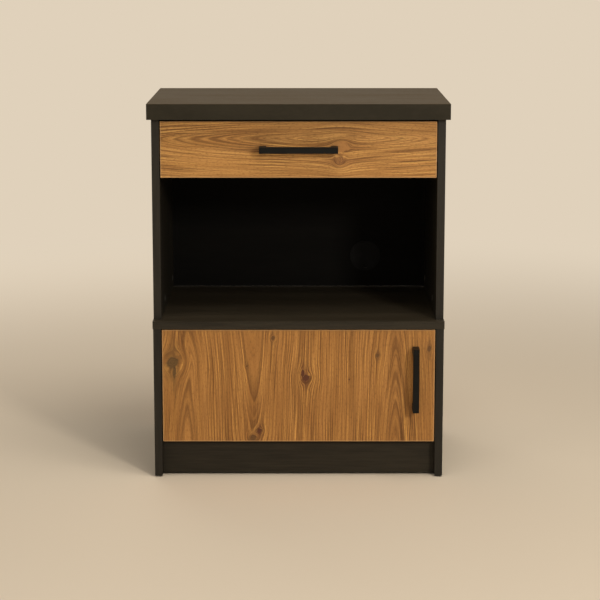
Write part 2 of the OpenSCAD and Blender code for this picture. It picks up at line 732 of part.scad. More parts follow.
module hinge_cup_screws() color([0.7, 0.7, 0.7]) at_hinges() for (up = [-1, 1])
    translate([cup_screw_x, door_back + flange_t, up * cup_screw_up]) rotate([0, 0, -90])
        screw(screw_r, cup_screw_l + flange_t, head_r, head_t);

module hinge_arms() color([0.75, 0.75, 0.75]) at_hinges() difference() {
    union() {
        translate([0, 0, -arm_h / 2]) cylinder(r = eye_r, h = arm_h);
        board([0, -arm_t / 2, -arm_h / 2], [foot + arm_t / 2, arm_t / 2, arm_h / 2]);
        board([foot - arm_t / 2, -arm_t / 2, -arm_h / 2], [foot + arm_t / 2, sweep + arm_t, arm_h / 2]);
        board([side_at + plate_t, sweep, -arm_h / 2], [foot + arm_t / 2, sweep + arm_t, arm_h / 2]);
        board([side_at + plate_t, sweep, -arm_h / 2], [side_at + plate_t + arm_w, sweep + arm_l, arm_h / 2]);
    }
    translate([0, 0, -arm_h]) cylinder(r = pin_r + pin_gap, h = 2 * arm_h);
    board([side_at, sweep + arm_t + arm_end, arm_wall - arm_h / 2],
        [side_at + plate_t + arm_w - arm_wall, sweep + arm_l - arm_end, arm_h / 2 - arm_wall]);
    for (y = adjuster_ys) translate([side_at, y, 0]) rod(screw_r + fit / 2, 0, arm_w + plate_t + 1);
}

module hinge_plates() color([0.72, 0.72, 0.72]) at_hinges() difference() {
    union() {
        board([side_at, plate_y, -plate_h / 2], [side_at + plate_t, plate_y + plate_l, plate_h / 2]);
        board([side_at, wing_y, -wing_h / 2], [side_at + plate_t, wing_y + wing_l, wing_h / 2]);
    }
    for (up = [-1, 1]) translate([side_at, wing_y + wing_l / 2, up * plate_screw_up])
        rod(screw_r + fit / 2, -1, plate_t + 1);
    for (y = adjuster_ys) translate([side_at, y, 0]) rod(screw_r + fit / 2, plate_t / 2, plate_t + 1);
}

module hinge_plate_screws() color([0.7, 0.7, 0.7]) at_hinges() for (up = [-1, 1])
    translate([side_at + plate_t, wing_y + wing_l / 2, up * plate_screw_up]) mirror([1, 0, 0])
        screw(screw_r, board_t - 1, head_r, head_t);

module hinge_adjusters() color([0.65, 0.65, 0.65]) at_hinges() for (y = adjuster_ys)
    translate([side_at + plate_t + arm_w, y, 0]) mirror([1, 0, 0])
        screw(screw_r, arm_w + plate_t / 2 - fit, head_r, head_t);

// ---------- Pieces ----------

base_side(-1);  // base_side_left
base_side(1);  // base_side_right
base_bottom();
plinth_board();
rear_rail();
deck_board();
upper_side(-1);  // upper_side_left
upper_side(1);  // upper_side_right
drawer_divider();
top_board();
base_back_panel();
upper_back_panel();
back_nails();
cable_grommet();
grommet_cap();
floor_glides();
wood_dowels();
cam_bolts();
cam_locks();
felt_buffers();
door_stops();
hinge_plates();
hinge_arms();
hinge_plate_screws();
hinge_adjusters();
cabinet_rail(-1);  // cabinet_rail_left
cabinet_rail(1);  // cabinet_rail_right
cabinet_rail_screws();
front_rollers();
drawer_front();
drawer_side(-1);  // drawer_side_left
drawer_side(1);  // drawer_side_right
drawer_back();
drawer_bottom();
drawer_handle();
drawer_handle_screws();
drawer_rail(-1);  // drawer_rail_left
drawer_rail(1);  // drawer_rail_right
drawer_rail_screws();
drawer_dowels();
drawer_cam_bolts();
drawer_cam_locks();
drawer_back_screws();
rear_rollers();
door_panel();
door_handle();
door_handle_screws();
hinge_cups();
hinge_pins();
hinge_cup_screws();
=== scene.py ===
# %% [markdown]
# # A microwave cabinet
# The cabinet is a 600 mm kitchen unit: a cupboard with one door, an open niche above it, a drawer, and a
# thick top board. Its real shapes come from the CAD frame. Blender gives each board and fitting its finish,
# softens the edges that a machine would have eased, and lights the whole like a plain studio photograph.

# %% Load the frame
import json
import math

import bmesh
import bpy
from mathutils import Matrix, Vector


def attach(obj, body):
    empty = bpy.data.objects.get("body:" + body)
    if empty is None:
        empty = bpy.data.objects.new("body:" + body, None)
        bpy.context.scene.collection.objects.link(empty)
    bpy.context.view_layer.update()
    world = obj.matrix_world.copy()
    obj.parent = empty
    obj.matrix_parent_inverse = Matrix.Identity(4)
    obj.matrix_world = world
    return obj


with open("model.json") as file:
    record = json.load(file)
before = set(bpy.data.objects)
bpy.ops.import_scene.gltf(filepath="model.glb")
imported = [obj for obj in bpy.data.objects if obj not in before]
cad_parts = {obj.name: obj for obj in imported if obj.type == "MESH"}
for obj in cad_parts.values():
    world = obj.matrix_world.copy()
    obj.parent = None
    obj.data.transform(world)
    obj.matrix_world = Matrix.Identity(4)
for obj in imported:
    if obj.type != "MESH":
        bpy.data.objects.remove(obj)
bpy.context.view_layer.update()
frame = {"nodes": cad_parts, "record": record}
nodes = frame["nodes"]

# %% [markdown]
# ## Places measured on the frame
# Some finishes change at a board's edge, at its upper face or halfway through it. These places could be
# typed in, but they would be wrong as soon as the CAD changed. So a helper measures them on the piece
# itself.


# %% Measure a piece
def extent(name, axis):
    """The lowest and the highest place of one CAD piece along an axis, in metres."""
    places = [vertex.co["XYZ".index(axis)] for vertex in nodes[name].data.vertices]
    return min(places), max(places)


def halfway(name, axis):
    return sum(extent(name, axis)) / 2


print("door across", [round(v, 4) for v in extent("door_panel", "X")])
print("door upwards", [round(v, 4) for v in extent("door_panel", "Z")])

# %% [markdown]
# ## The camera
# A short lens close by would make the cabinet's uprights lean. A long lens from four metres keeps them
# close to parallel. Tilting the camera brings a little lean back, so a small downward shift of the lens
# does a part of the looking down instead.

# %% Camera
look_down = 10.2
camera = bpy.data.objects.new("camera", bpy.data.cameras.new("camera"))
bpy.context.scene.collection.objects.link(camera)
camera.data.sensor_width = 36.0
camera.data.lens = 113.4
camera.data.shift_y = -0.045
camera.location = (0.003, -4.0, 1.12)
camera.rotation_euler = (math.radians(90 - look_down), 0, 0)
bpy.context.scene.camera = camera
bpy.context.scene.view_settings.view_transform = "Standard"
print("camera", tuple(round(v, 3) for v in camera.location), "lens", round(camera.data.lens, 1))

# %% [markdown]
# ## Wiring helpers
# A material is a graph of small nodes. In full, each node takes several lines of script, so these helpers
# add one and plug in its inputs in a single call. Colours are written as a screen shows them, and tone()
# turns them into the linear numbers that a shader works in.


# %% Node helpers
def tone(red, green, blue):
    """A colour as a screen shows it, 0 to 255, as the linear numbers that a shader works in."""
    shown = [level / 255 for level in (red, green, blue)]
    linear = [level / 12.92 if level <= 0.04045 else ((level + 0.055) / 1.055) ** 2.4 for level in shown]
    return (*linear, 1.0)


def plug(tree, node, inputs):
    """Sets each input of a node to a plain value, or links it to another node's output."""
    for key, value in inputs.items():
        if isinstance(value, bpy.types.NodeSocket):
            tree.links.new(value, node.inputs[key])
        else:
            node.inputs[key].default_value = value
    return node


def add(tree, kind, inputs=None, **settings):
    made = tree.nodes.new("ShaderNode" + kind)
    for key, value in settings.items():
        setattr(made, key, value)
    return plug(tree, made, inputs or {})


def blend(tree, share, first, second, how="MIX"):
    """Two colours mixed. The Mix node keeps its colours in the inputs 6 and 7, and the result in output 2."""
    made = add(tree, "Mix", {0: share, 6: first, 7: second}, data_type="RGBA", blend_type=how)
    return made.outputs[2]


print("middle grey is", [round(level, 3) for level in tone(128, 128, 128)])

# %% [markdown]
# ## Sums in a graph
# A Math node does one sum for every point of a surface. Short names for the common ones keep the later
# cells close to ordinary arithmetic.


# %% Sums
def calc(tree, operation, *values):
    return add(tree, "Math", dict(enumerate(values)), operation=operation).outputs[0]


def plus(tree, first, second):
    return calc(tree, "ADD", first, second)


def minus(tree, first, second):
    return calc(tree, "SUBTRACT", first, second)


def times(tree, first, second):
    return calc(tree, "MULTIPLY", first, second)


def divided(tree, first, second):
    return calc(tree, "DIVIDE", first, second)


def larger(tree, first, second):
    return calc(tree, "MAXIMUM", first, second)


def smaller(tree, first, second):
    return calc(tree, "MINIMUM", first, second)


print("sums: plus, minus, times, divided, larger, smaller")

# %% [markdown]
# ## Patterns
# Noise is the raw material of every finish here. It is a cloudy pattern, and most marks on wood, foil or
# metal are noise that was stretched, and then cut to a range by a smooth fade.


# %% Patterns
def fade(tree, value, low, high, start=0.0, end=1.0):
    """Goes smoothly from start to end while the value goes from low to high."""
    limits = {"Value": value, "From Min": low, "From Max": high, "To Min": start, "To Max": end}
    return add(tree, "MapRange", limits, interpolation_type="SMOOTHSTEP").outputs[0]


def noise(tree, where, scale, detail=2.0, roughness=0.5, distortion=0.0):
    """A cloudy pattern from 0 to 1. The scale is about the number of clouds in a metre."""
    inputs = {"Vector": where, "Scale": scale, "Detail": detail, "Roughness": roughness,
              "Distortion": distortion}
    return add(tree, "TexNoise", inputs).outputs[0]


def point(tree, x, y, z):
    return add(tree, "CombineXYZ", {0: x, 1: y, 2: z}).outputs[0]


def stretched(tree, place, x, y, z, shift=(0.0, 0.0, 0.0)):
    """The place with each axis scaled: a small number draws a pattern out along that axis."""
    return add(tree, "Mapping", {"Vector": place, "Scale": (x, y, z), "Location": shift}).outputs[0]


print("patterns: fade, noise, point, stretched")

# %% [markdown]
# ## Start of a finish
# Every finish begins with the same two things: a new material, and the place of each point on the cabinet
# in metres. Texture coordinates could also come from an unwrapped mesh, but patterns that read the place
# need no unwrapping, and they stay fixed to the wood when a door or drawer moves. A bump turns a pattern
# into fine relief that catches the light.


# %% Start a finish
def new_finish(name):
    made = bpy.data.materials.new(name)
    made.use_nodes = True
    tree = made.node_tree
    shader = tree.nodes["Principled BSDF"]
    place = add(tree, "TexCoord").outputs["Object"]
    return made, tree, shader, place


def raise_surface(tree, shader, height, strength, distance):
    bump = add(tree, "Bump", {"Height": height, "Strength": strength, "Distance": distance})
    tree.links.new(bump.outputs[0], shader.inputs["Normal"])


print("finish helpers: new_finish, raise_surface")

# %% [markdown]
# ## Background
# The background has to look pale, but a world that pale would flood the cabinet with light. Blender knows
# what each ray was sent for. So the pale colour is given only to the rays that look at the background, from
# the camera, from a mirror or through glass, and a weaker white light from the world fills the shadows.

# %% World
backdrop_tone = tone(224, 209, 187)
warm_white = (1.0, 0.96, 0.90)
soft_white = (1.0, 0.97, 0.93)
world_fill = 0.25


def looking_rays(tree):
    """1 for the rays that look at the background, and 0 for those that gather light."""
    rays = add(tree, "LightPath").outputs
    looking = larger(tree, rays["Is Camera Ray"], rays["Is Glossy Ray"])
    return larger(tree, looking, rays["Is Transmission Ray"])


world = bpy.data.worlds.new("studio")
bpy.context.scene.world = world
world.use_nodes = True
tree = world.node_tree
tree.nodes.clear()
fill = add(tree, "Background", {"Color": (*soft_white, 1.0), "Strength": world_fill})
shown = add(tree, "Background", {"Color": backdrop_tone, "Strength": 1.0})
both = add(tree, "MixShader", {0: looking_rays(tree), 1: fill.outputs[0], 2: shown.outputs[0]})
add(tree, "OutputWorld", {"Surface": both.outputs[0]})
print("world fill", world_fill)

# %% [markdown]
# ## Floor
# In a studio the cabinet would stand on a roll of paper that sweeps up behind it. A bent sheet could be
# modelled, but one big flat disc does the same. It catches the cabinet's shadow, and further out it fades
# to the background's own colour, so no horizon shows.

# %% Floor
floor_radius = 14.0
fade_starts, fade_ends = 0.7, 3.0
sheet = bmesh.new()
bmesh.ops.create_circle(sheet, cap_ends=True, radius=floor_radius, segments=96)
floor_mesh = bpy.data.meshes.new("floor")
sheet.to_mesh(floor_mesh)
sheet.free()
floor = bpy.data.objects.new("floor", floor_mesh)
bpy.context.scene.collection.objects.link(floor)
floor_finish, tree, floor_shader, place = new_finish("floor_pale")
plug(tree, floor_shader, {"Base Color": tone(216, 200, 177), "Roughness": 0.9, "Specular IOR Level": 0.1})
reach = add(tree, "VectorMath", {0: place}, operation="LENGTH").outputs["Value"]
far_off = times(tree, fade(tree, reach, fade_starts, fade_ends), looking_rays(tree))
glow = add(tree, "Emission", {"Color": backdrop_tone, "Strength": 1.0})
mixed = add(tree, "MixShader", {0: far_off, 1: floor_shader.outputs[0], 2: glow.outputs[0]})
tree.links.new(mixed.outputs[0], tree.nodes["Material Output"].inputs["Surface"])
floor_mesh.materials.append(floor_finish)
print("floor", len(floor_mesh.polygons), "face,", floor_radius, "m")

# %% [markdown]
# ## Lamps
# A small lamp gives hard shadows and a large one soft shadows. The main lamp is a medium panel at the front
# right and a little above, so the handles throw a short blurred shadow to their left and just below. A
# panel overhead lights the top board and the upper edges, a weaker one on the left keeps that side
# readable, and a wide one behind does the same for the back. None of them shows itself to the camera, and
# the one behind leaves no glare on the top board.


# %% Lamps
def panel(name, place, aim, size, power, colour):
    lamp = bpy.data.objects.new(name, bpy.data.lights.new(name, "AREA"))
    lamp.data.shape = "RECTANGLE"
    lamp.data.size, lamp.data.size_y = size
    lamp.data.energy = power
    lamp.data.color = colour
    lamp.location = place
    lamp.rotation_euler = (Vector(aim) - Vector(place)).to_track_quat("-Z", "Y").to_euler()
    lamp.visible_camera = False
    bpy.context.scene.collection.objects.link(lamp)
    return lamp


middle_of_cabinet = (0, 0, 0.4)
low_on_the_back = (0, 0, 0.3)
key = panel("key_panel", (1.75, -3.35, 1.75), middle_of_cabinet, (0.5, 0.5), 61, warm_white)
overhead = panel("top_panel", (0.5, -0.9, 2.9), middle_of_cabinet, (1.4, 1.4), 40, warm_white)
left = panel("fill_panel", (-2.6, -2.8, 2.0), middle_of_cabinet, (1.8, 1.8), 13, soft_white)
behind = panel("back_panel", (-1.2, 3.4, 1.6), low_on_the_back, (2.4, 2.4), 50, soft_white)
behind.visible_glossy = False
print("lamps in watts", [lamp.data.energy for lamp in (key, overhead, left, behind)])

# %% [markdown]
# ## Node groups
# An effect that several finishes share is built once, as a node group with named inputs and outputs, and
# each finish places it with its own values. A copy in each material would work too, but then every
# correction would have to be made in each of them.


# %% Group helpers
def sockets(kind, *names):
    return [(name, kind) for name in names]


def new_group(name, inputs, outputs):
    """An empty group, what it takes in, and the node that gives its results."""
    group = bpy.data.node_groups.new(name, "ShaderNodeTree")
    for socket, kind in inputs:
        group.interface.new_socket(name=socket, in_out="INPUT", socket_type="NodeSocket" + kind)
    for socket, kind in outputs:
        group.interface.new_socket(name=socket, in_out="OUTPUT", socket_type="NodeSocket" + kind)
    return group, group.nodes.new("NodeGroupInput").outputs, group.nodes.new("NodeGroupOutput")


def use_group(tree, group, inputs):
    made = tree.nodes.new("ShaderNodeGroup")
    made.node_tree = group
    return plug(tree, made, inputs).outputs


print("group helpers: sockets, new_group, use_group")

# %% [markdown]
# ## A knot bends the grain
# Where a branch left the trunk, the grain flows round it as water flows round a post. A painted picture of
# a knot could be laid on the board, but its grain would stop at the picture's edge. This group bends the
# grain itself. For one knot it gives how far sideways the grain has to be read, how far the point is from
# the knot's middle, and masks of the knot, of the stain round it and of its upper half.

# %% Knot group
knot_group, take, give = new_group(
    "knot", sockets("Float", "Along", "Across", "Knot along", "Knot across", "Radius", "Stretch", "Reach"),
    sockets("Float", "Shift", "Distance", "Mask", "Halo", "Upper"))
tree = knot_group
stain_length = 2.6
radius = take["Radius"]
along = divided(tree, minus(tree, take["Along"], take["Knot along"]), take["Stretch"])
across = minus(tree, take["Across"], take["Knot across"])
square = plus(tree, times(tree, along, along), times(tree, across, across))
# The grain is pulled with full strength close to the knot, and ever less further away.
bent = times(tree, radius, take["Reach"])
area = times(tree, bent, bent)
pull = divided(tree, area, larger(tree, square, area))
# A noise makes the knot's outline ragged, by changing how far away a point seems to be.
in_radii = point(tree, divided(tree, across, radius), divided(tree, along, radius), take["Knot along"])
ragged = noise(tree, in_radii, 1.0, detail=3, roughness=0.55)
distance = times(tree, divided(tree, calc(tree, "SQRT", square), radius),
                 fade(tree, ragged, 0.2, 0.8, start=0.72, end=1.3))
mask = fade(tree, distance, 1.2, 0.7)
# The stain reaches further along the grain than across it.
shrunk = divided(tree, along, stain_length)
stain = calc(tree, "SQRT", plus(tree, times(tree, shrunk, shrunk), times(tree, across, across)))
stain = times(tree, divided(tree, stain, radius), fade(tree, ragged, 0.2, 0.8, start=0.7, end=1.5))
upper = fade(tree, divided(tree, along, radius), -0.5, 0.7)
plug(tree, give, {"Shift": times(tree, across, pull), "Distance": distance, "Mask": mask,
                  "Halo": fade(tree, stain, 2.3, 0.4), "Upper": times(tree, mask, upper)})
print("knot group", len(tree.nodes), "nodes")

# %% [markdown]
# ## Growth rings
# Each year a tree lays down a pale soft layer in spring and a thin dark one in summer. The distance from the
# middle of the log tells which ring a point of a board lies in, and here that distance, in metres, is called
# the ring number. Every ring starts pale, darkens slowly, and stops at a thin dark line. A plain wave would
# make them all alike, so a white noise gives each ring its own strength, and a slow noise makes them
# unequally wide.


# %% Growth ring group
def grained(tree, side, along, share, seed):
    """A place in a pattern that is drawn out along the grain. A smaller share makes longer marks, and another
    seed gives another pattern."""
    return point(tree, side, times(tree, along, share), seed)


ring_group, take, give = new_group(
    "growth_rings", sockets("Float", "Ring", "Along", "Count", "Uneven"), sockets("Float", "Line"))
tree = ring_group
ring, along, count = take["Ring"], take["Along"], take["Count"]
drift = noise(tree, grained(tree, ring, along, 0.06, count), 34)
phase = plus(tree, times(tree, ring, count), times(tree, drift, take["Uneven"]))
# The whole part numbers the ring, and the rest says how far across the ring a point lies.
step = calc(tree, "FLOOR", phase)
within = minus(tree, phase, step)
own = add(tree, "TexWhiteNoise", {"W": step}, noise_dimensions="1D").outputs["Value"]
patchy = noise(tree, grained(tree, ring, along, 0.09, 7.0), 95)
line = times(tree, fade(tree, within, 0.3, 0.86), fade(tree, within, 1.0, 0.93))
line = calc(tree, "POWER", line, 1.6)
line = times(tree, line, fade(tree, own, 0.0, 1.0, start=0.25))
line = times(tree, line, fade(tree, patchy, 0.32, 0.62, start=0.25))
plug(tree, give, {"Line": line})
print("growth ring group", len(tree.nodes), "nodes")

# %% [markdown]
# ## Wood: the marks
# The wood group turns the ring number into wood, and this cell makes its marks. Coarse and close rings lie
# over one another, since a tree has good years and bad ones. Fibres and threads are the hair-fine lines
# that a brush brings out, pores are shorter, and flecks shorter still. Where the grain is calm, rings and
# fibres are hardly seen.

# %% Wood group
wood_inputs = (sockets("Float", "Ring", "Coarse count", "Close count", "Calm", "Along", "Across")
               + sockets("Float", "Knot", "Knot distance", "Knot upper", "Halo")
               + sockets("Color", "Knot tone", "Pale", "Middle", "Dark"))
wood_outputs = sockets("Color", "Color") + sockets("Float", "Roughness", "Height")
wood_group, take, give = new_group("wood", wood_inputs, wood_outputs)
tree = wood_group
ring, along, across = take["Ring"], take["Along"], take["Across"]
lines = {"Ring": ring, "Along": along}
coarse = use_group(tree, ring_group, {**lines, "Count": take["Coarse count"], "Uneven": 1.6})["Line"]
close = use_group(tree, ring_group, {**lines, "Count": take["Close count"], "Uneven": 3.0})["Line"]
zones = noise(tree, grained(tree, across, along, 0.2, 4.0), 17)
lively = times(tree, fade(tree, zones, 0.38, 0.62, start=0.45), minus(tree, 1.0, take["Calm"]))
broad = noise(tree, grained(tree, across, along, 0.4, 3.0), 13, detail=3, roughness=0.55)
streaks = noise(tree, grained(tree, across, along, 0.05, 2.0), 60, detail=3, roughness=0.6)
fibres = noise(tree, grained(tree, ring, along, 0.009, 5.0), 620, detail=1)
threads = noise(tree, grained(tree, across, along, 0.009, 6.0), 800, detail=1)
fibres = plus(tree, times(tree, fibres, 0.6), times(tree, threads, 0.4))
pores = noise(tree, grained(tree, across, along, 0.02, 8.0), 1500)
flecks = noise(tree, grained(tree, across, along, 0.22, 1.0), 620, roughness=0.6)
print("wood group", len(tree.nodes), "nodes so far")

# %% [markdown]
# ## Wood: the colour
# The colours are laid over one another, as stains are. Broad areas go between a pale and a middle tone, and
# then each kind of mark is laid on in the dark tone. The ridges between the fibres get a paler tone, a
# painted highlight where they would catch the light.

# %% Wood colour
pale, middle, dark = take["Pale"], take["Middle"], take["Dark"]
# The paler tone of the painted highlight on the fibre ridges.
ridge_highlight_tone = blend(tree, 1.0, pale, (1.0, 0.93, 0.8, 1.0), "SOFT_LIGHT")
furrows = times(tree, fade(tree, fibres, 0.5, 0.37), lively)
ridge_highlights = times(tree, fade(tree, fibres, 0.52, 0.64, end=0.75), lively)
colour = blend(tree, fade(tree, streaks, 0.25, 0.75), middle, pale)
colour = blend(tree, fade(tree, broad, 0.42, 0.68, end=0.55), colour, middle)
colour = blend(tree, times(tree, times(tree, coarse, lively), 0.45), colour, dark)
colour = blend(tree, times(tree, times(tree, close, lively), 0.8), colour, dark)
colour = blend(tree, furrows, colour, dark)
colour = blend(tree, ridge_highlights, colour, ridge_highlight_tone)
colour = blend(tree, fade(tree, pores, 0.36, 0.28, end=0.45), colour, dark)
colour = blend(tree, fade(tree, flecks, 0.5, 0.32, end=0.4), colour, dark)
print("wood group", len(tree.nodes), "nodes so far")

# %% [markdown]
# ## Wood: the knots
# A knot is a branch cut across. It has its own close rings, dark specks, and a darker rim that is strongest
# in its upper half, and it stains the wood round it. Its colour comes in from the board, because no two
# knots on a board are alike. Last, the group gives the roughness and the height of the grain.

# %% Knot colour
burnt = (0.05, 0.024, 0.009, 1.0)
knot_distance = take["Knot distance"]
knot_rings = noise(tree, point(tree, knot_distance, 0.0, knot_distance), 5.0, detail=3, roughness=0.65)
specks = noise(tree, point(tree, across, along, 9.0), 420, roughness=0.6)
knot_rim = times(tree, fade(tree, knot_distance, 0.45, 0.9),
                 fade(tree, take["Knot upper"], 0.0, 0.8, start=0.35))
knot_rim = times(tree, knot_rim, fade(tree, specks, 0.3, 0.6, start=0.5))
knot_dark = larger(tree, fade(tree, knot_rings, 0.52, 0.34, end=0.6), times(tree, knot_rim, 0.85))
knot_dark = larger(tree, knot_dark, fade(tree, specks, 0.48, 0.34, end=0.6))
knot_colour = blend(tree, knot_dark, take["Knot tone"], burnt)
colour = blend(tree, times(tree, take["Halo"], 0.5), colour, take["Knot tone"])
colour = blend(tree, take["Knot"], colour, knot_colour)
height = plus(tree, times(tree, fibres, 0.6), times(tree, coarse, 0.4))
height = plus(tree, height, times(tree, pores, 0.3))
rough = fade(tree, coarse, 0.0, 0.8, start=0.5, end=0.4)
plug(tree, give, {"Color": colour, "Roughness": rough, "Height": height})
print("wood group", len(tree.nodes), "nodes")

# %% [markdown]
# ## Arches of the grain
# A board sawn from the side of a log shows its rings as nested arches. The middle of the log lies behind
# the board, at a depth that changes slowly along it. The distance from a point on the board to that middle
# line is its ring number, so where the line comes closer the rings close into an arch. A wide board carries
# several arches side by side, and the nearest one wins. Even straight grain sways a little from side to
# side.

# %% Arches
pointed = 1.6
join_width = 0.008


def rounded(tree, first, second, sharp):
    """The length of two steps at a right angle: 2 makes round arches, and less makes pointed ones."""
    total = plus(tree, calc(tree, "POWER", calc(tree, "ABSOLUTE", first), sharp),
                 calc(tree, "POWER", calc(tree, "ABSOLUTE", second), sharp))
    return calc(tree, "POWER", total, 1 / sharp)


def arches(tree, along, across, table):
    """The ring number from a list of arches: (middle across, depth, change of depth for each metre along).
    Each arch's own number is given as well."""
    nearest, own = None, []
    for middle, depth, slope in table:
        deep = plus(tree, times(tree, along, slope), depth)
        own.append(rounded(tree, minus(tree, across, middle), deep, pointed))
        nearest = own[0] if nearest is None else calc(tree, "SMOOTH_MIN", nearest, own[-1], join_width)
    return nearest, own


def wavy(tree, place, across, table):
    """Bends a straight reading of the grain from side to side, from a list of (reach, pattern scale)."""
    for reach, scale in table:
        sway = minus(tree, noise(tree, place, scale, detail=1), 0.5)
        across = plus(tree, across, times(tree, sway, reach))
    return across


print("arches join over", join_width, "m of ring number")

# %% [markdown]
# ## All the knots of a board
# A board carries several knots, and each one is a copy of the knot group. They could be wired by hand, but
# a loop over a table is shorter and can't forget one. It adds up the bending, and keeps the strongest mask.


# %% Knots of a board
def knots_in(tree, along, across, table):
    """What the knots do to a board, from a list of (along, across, radius, stretch, reach of the bending,
    tone). The lengths are in metres."""
    read, mask, near, halo, upper, colour = across, 0.0, 0.0, 0.0, 0.0, table[0][-1]
    for place_along, place_across, radius, stretch, reach, knot_tone in table:
        out = use_group(tree, knot_group, {
            "Along": along, "Across": across, "Knot along": place_along, "Knot across": place_across,
            "Radius": radius, "Stretch": stretch, "Reach": reach})
        read = minus(tree, read, out["Shift"])
        mask = larger(tree, mask, out["Mask"])
        near = plus(tree, near, times(tree, out["Mask"], out["Distance"]))
        halo = larger(tree, halo, out["Halo"])
        upper = larger(tree, upper, out["Upper"])
        colour = blend(tree, larger(tree, out["Halo"], out["Mask"]), colour, knot_tone)
    return read, {"Knot": mask, "Knot distance": near, "Knot upper": upper, "Halo": halo, "Knot tone": colour}


print("sockets of one knot", len(knot_group.interface.items_tree))

# %% [markdown]
# ## What the two fronts share
# The eye finds a board again by its few boldest rings, so those are darkened one by one at their ring
# numbers. Both fronts are brushed and lacquered to a satin, and their edges get a paler tone: a painted
# highlight, as on edges that catch the light.

# %% Marks, painted edge highlights and lacquer
ring_ends_in = 0.0011
rim_width = 0.0028
# The paler tone of the painted highlight along the edges of both fronts.
edge_highlight_tone = tone(190, 148, 100)


def mark_rings(tree, colour, ring, dark, table):
    """Darkens single growth rings, from a list of (ring number, soft inner width, strength)."""
    for at, soft, strength in table:
        line = times(tree, fade(tree, ring, at - soft, at), fade(tree, ring, at + ring_ends_in, at))
        colour = blend(tree, times(tree, line, strength), colour, dark)
    return colour


def rim(tree, name, split):
    """A mask that is strongest along the four edges of an upright board."""
    nearest = None
    for axis in "XZ":
        low, high = extent(name, axis)
        off = smaller(tree, minus(tree, split[axis], low), minus(tree, high, split[axis]))
        nearest = off if nearest is None else smaller(tree, nearest, off)
    return fade(tree, nearest, rim_width, 0.0)


def lacquer_with_edge_highlight(tree, shader, name, split, colour, wood):
    """The last steps of both fronts: the painted edge highlight, the satin sheen and the raised grain."""
    # Painted highlight: a paler tone along the four edges.
    colour = blend(tree, times(tree, rim(tree, name, split), 0.7), colour, edge_highlight_tone)
    plug(tree, shader, {"Base Color": colour, "Roughness": wood["Roughness"], "Specular IOR Level": 0.3})
    raise_surface(tree, shader, wood["Height"], 0.3, 0.0004)


print("rim width", rim_width, "m")

# %% [markdown]
# ## The door's figure
# The door is a knotty board with its grain upright. One arch opens upwards left of the middle, and two
# point the other way. The largest knot sits near the left edge, and the others are small. Each knot is
# written as its place along and across the grain, its radius, how far it is drawn out, how far it bends the
# grain, and its tone.

# %% Door figure
grey, red, brown = tone(104, 76, 38), tone(92, 49, 28), tone(110, 74, 38)
door_knots = [
    (0.2455, -0.2602, 0.0125, 1.1, 1.7, grey),
    (0.2125, 0.0160, 0.0072, 1.1, 1.5, red),
    (0.2225, 0.0090, 0.0036, 2.6, 1.2, red),
    (0.0845, -0.0942, 0.0068, 1.0, 1.4, brown),
    (0.0995, -0.0812, 0.0050, 1.1, 1.3, red),
    (0.2600, 0.1636, 0.0036, 1.2, 1.3, brown),
    (0.2970, -0.0525, 0.0040, 1.3, 1.3, brown),
    (0.2745, 0.2706, 0.0040, 1.8, 1.3, brown),
    (0.2245, -0.2570, 0.0034, 4.5, 1.2, grey),
    (0.2375, -0.1065, 0.0022, 1.1, 1.2, brown),
    (0.2094, 0.1050, 0.0014, 1.1, 1.2, red)]
v_arch = (-0.0957, 0.052, -0.075)
left_arch = (-0.2325, 0.0041, 0.085)
right_arch = (0.1996, 0.0089, 0.085)
door_wood, tree, door_shader, place = new_finish("door_wood")
door_split = add(tree, "SeparateXYZ", {"Vector": place}).outputs
along, across = door_split["Z"], door_split["X"]
read, knots = knots_in(tree, along, across, door_knots)
swayed = wavy(tree, stretched(tree, place, 1.0, 1.0, 0.25), across, [(0.018, 9), (0.0025, 34)])
bent = plus(tree, read, minus(tree, swayed, across))
ring, (v_ring, left_ring, right_ring) = arches(tree, along, bent, [v_arch, left_arch, right_arch])
print("door", len(door_knots), "knots, 3 arches")

# %% [markdown]
# ## The door's colour
# Inside the large V the wood is calm. The V's own ring and two rings of each other arch are darkened. Three
# faint dark bands run the whole height too, as bands of narrow rings do. A ring that belongs to one arch must
# not show on another, so its mark is kept to where its own arch is the nearest.

# %% Door colour
v_line = 0.0392
calm_starts, calm_ends = 0.0385, 0.0360
left_lines = [(0.0168, 0.003, 0.45), (0.0215, 0.003, 0.5)]
right_lines = [(0.0225, 0.003, 0.35), (0.0279, 0.003, 0.5)]
dark_bands = [(0.003, 0.008, 0.35), (0.1121, 0.009, 0.4), (-0.148, 0.006, 0.3)]
ring_tone, band_tone = tone(104, 65, 27), tone(112, 72, 32)
wood = use_group(tree, wood_group, {
    **knots, "Ring": ring, "Coarse count": 100.0, "Close count": 215.0, "Along": along, "Across": bent,
    "Calm": fade(tree, v_ring, calm_starts, calm_ends, end=0.75),
    "Pale": tone(183, 128, 66), "Middle": tone(161, 109, 52), "Dark": tone(104, 65, 26)})
colour = mark_rings(tree, wood["Color"], v_ring, ring_tone, [(v_line, 0.0040, 0.6)])
for own_ring, table in [(left_ring, left_lines), (right_ring, right_lines)]:
    this_arch = fade(tree, minus(tree, own_ring, ring), 0.008, 0.003)
    colour = blend(tree, this_arch, colour, mark_rings(tree, colour, own_ring, ring_tone, table))
for middle, half_width, strength in dark_bands:
    off = calc(tree, "ABSOLUTE", minus(tree, bent, middle))
    colour = blend(tree, fade(tree, off, half_width, 0.0, end=strength), colour, band_tone)
lacquer_with_edge_highlight(tree, door_shader, "door_panel", door_split, colour, wood)
print("door wood", len(tree.nodes), "nodes")

# %% [markdown]
# ## The drawer front's figure
# The same wood, with its grain across. Here the arches close at both ends into long ovals, because the
# middle line of the log bows towards the board's face and away again. The rings lie closer together above
# the ovals' middle line than below it. One knot sits under the handle's right end, and a calm patch lies
# just above it.

